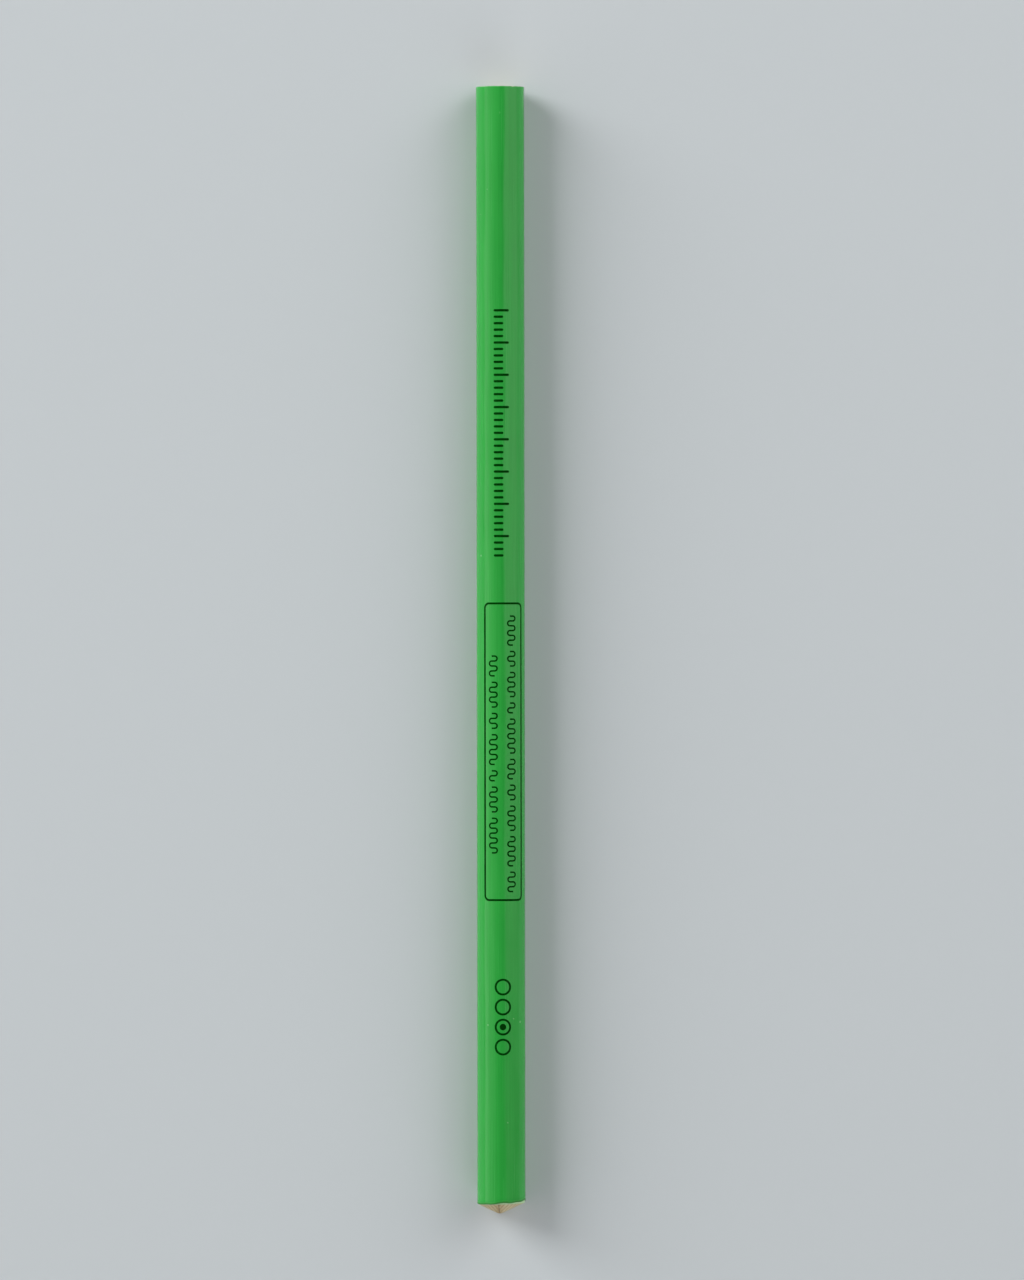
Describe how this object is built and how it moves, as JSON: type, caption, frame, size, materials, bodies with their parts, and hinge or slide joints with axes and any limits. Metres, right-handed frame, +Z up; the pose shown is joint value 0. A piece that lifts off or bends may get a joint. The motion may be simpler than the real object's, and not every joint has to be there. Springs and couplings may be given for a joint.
{
  "type": "marking pencil",
  "caption": "Round wood-cased marking pencil with a thick waxy core: grooved wooden slats glued round the core, undercoat and green gloss lacquer, a square-cut end and a blunt bare-wood cone.",
  "frame": {"origin": "middle of the length, at the bottom of the barrel, where it touches the surface it lies on", "axes": "+Y along the pencil towards the square-cut end, the blunt wooden cone points to -Y, +Z up from the surface it lies on"},
  "size_m": [0.0074, 0.175, 0.0075],
  "materials": {
    "green_lacquer": "gloss",
    "undercoat": "matte",
    "casing_wood": "matte",
    "glue": "matte",
    "core_wax": "satin",
    "printing_ink": "satin"
  },
  "bodies": {
    "root": {"lead_core": "core_wax", "glue_film": "glue", "slat_left": "casing_wood", "slat_right": "casing_wood", "undercoat": "undercoat", "lacquer_coat": "green_lacquer"}
  },
  "joints": []
}
